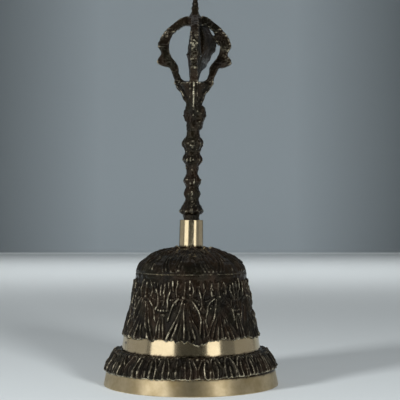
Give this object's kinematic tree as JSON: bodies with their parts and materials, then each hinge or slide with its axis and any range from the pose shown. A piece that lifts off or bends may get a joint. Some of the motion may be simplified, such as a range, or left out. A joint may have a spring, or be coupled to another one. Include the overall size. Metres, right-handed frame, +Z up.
{
  "type": "tibetan ritual hand bell",
  "caption": "Cast bronze hand bell with relief bands, a polished ferrule, a long handle that ends in a caged prong head, and a clapper hung inside on a ring.",
  "frame": {"origin": "centre of the mouth, on the flat underside of the rim that the bell stands on", "axes": "+Z up along the bell and its handle, -Y towards the front, +X towards the side that the handle leans to"},
  "size_m": [0.0784, 0.0784, 0.1743],
  "materials": {
    "patinated_bronze": "cast relief with a near-black brown patina, rubbed to metal on raised edges",
    "polished_brass": "turned and buffed, slightly hazed",
    "dull_brass": "turned and left to dull",
    "plain_steel": "plain drawn wire and plain fasteners, lightly tarnished"
  },
  "bodies": {
    "bell": {"bell_shell": "patinated_bronze", "ferrule": "polished_brass", "handle_stem": "patinated_bronze", "prong_right": "patinated_bronze", "prong_left": "patinated_bronze", "prong_front": "patinated_bronze", "prong_back": "patinated_bronze", "centre_spindle": "patinated_bronze", "head_tip": "patinated_bronze", "eye_bolt": "plain_steel", "crown_washer": "plain_steel", "lock_nut": "plain_steel"},
    "ring": {"hanger_ring": "plain_steel"},
    "clapper": {"clapper_rod": "plain_steel", "clapper_bob": "dull_brass"}
  },
  "joints": [
    {"name": "link_swing", "type": "hinge", "parent": "bell", "child": "ring", "pos_m": [0, 0, 0.04865], "axis": [0, 1, 0], "range_deg": [-34.5, 34.5]},
    {"name": "clapper_swing", "type": "hinge", "parent": "ring", "child": "clapper", "pos_m": [0, 0, 0.044], "axis": [1, 0, 0], "range_deg": [-7, 7]}
  ]
}
